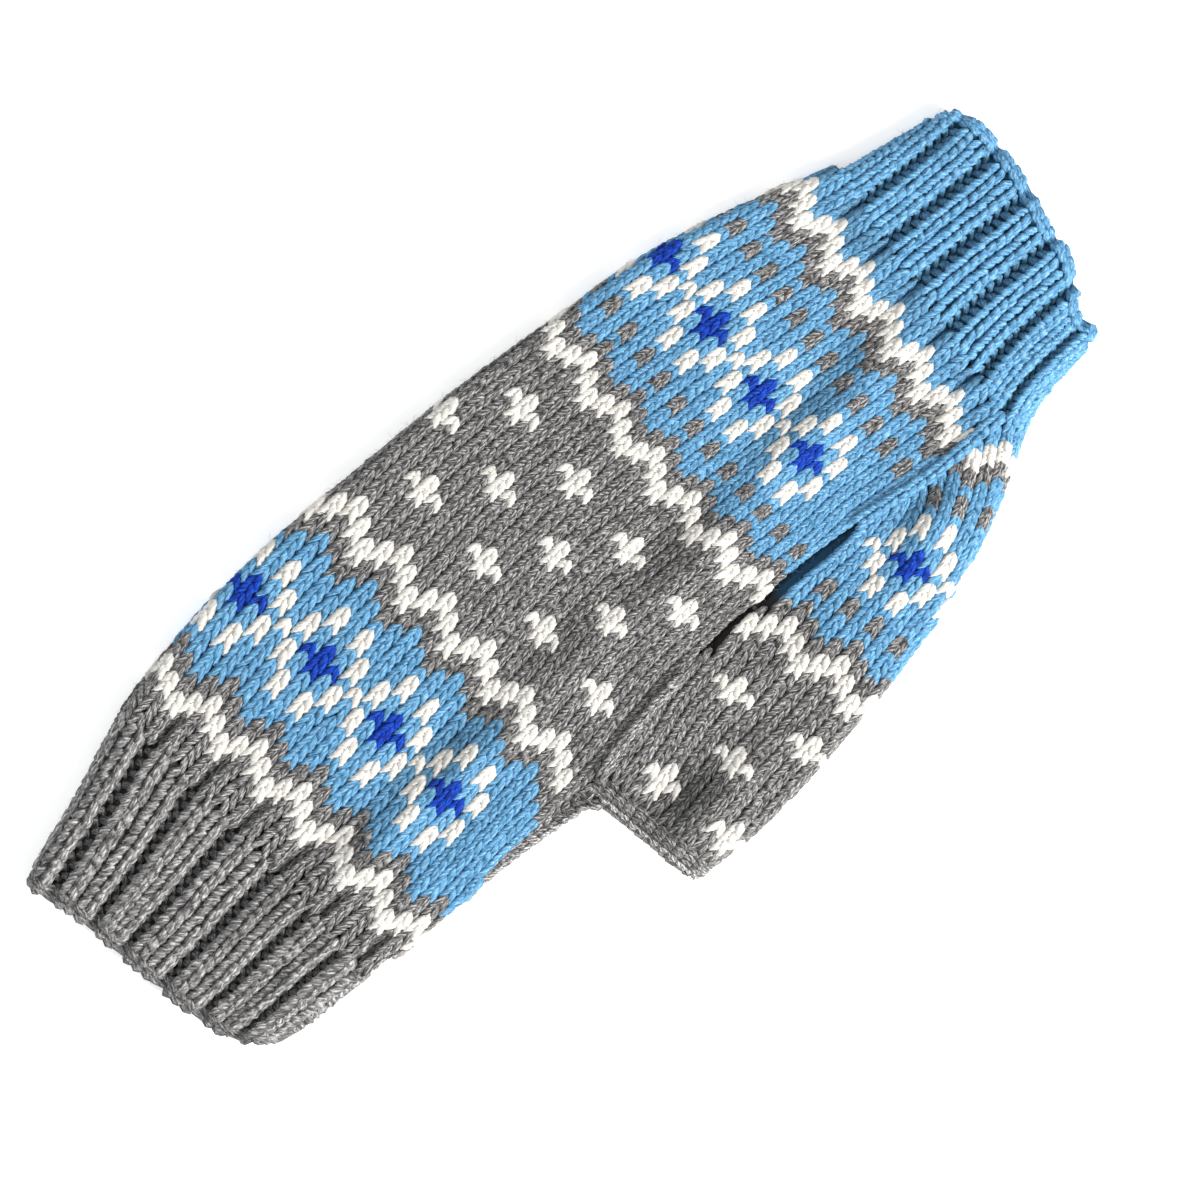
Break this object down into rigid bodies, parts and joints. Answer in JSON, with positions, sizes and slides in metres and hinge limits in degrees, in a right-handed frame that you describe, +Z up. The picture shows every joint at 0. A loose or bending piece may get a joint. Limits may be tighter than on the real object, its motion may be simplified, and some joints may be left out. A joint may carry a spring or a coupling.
{
  "type": "dog sweater",
  "caption": "Hand-knitted wool dog sweater laid flat on its side: ribbed neck and hem, colour-work back and chest, leg slits, belly cut-out with a narrow edging.",
  "frame": {"origin": "on the ground under the middle of the garment's box", "axes": "+Y towards the neck, along the spine; +X towards the chest; +Z up, out of the surface that it lies on"},
  "size_m": [0.1964, 0.4464, 0.0117],
  "materials": {
    "light_blue_wool": "soft plied wool",
    "grey_wool": "heathered plied wool"
  },
  "bodies": {
    "root": {"neck_rib": "light_blue_wool", "back": "grey_wool", "chest": "grey_wool", "hem_rib": "grey_wool", "belly_edging_upper": "grey_wool", "belly_edging_under": "grey_wool"}
  },
  "joints": []
}
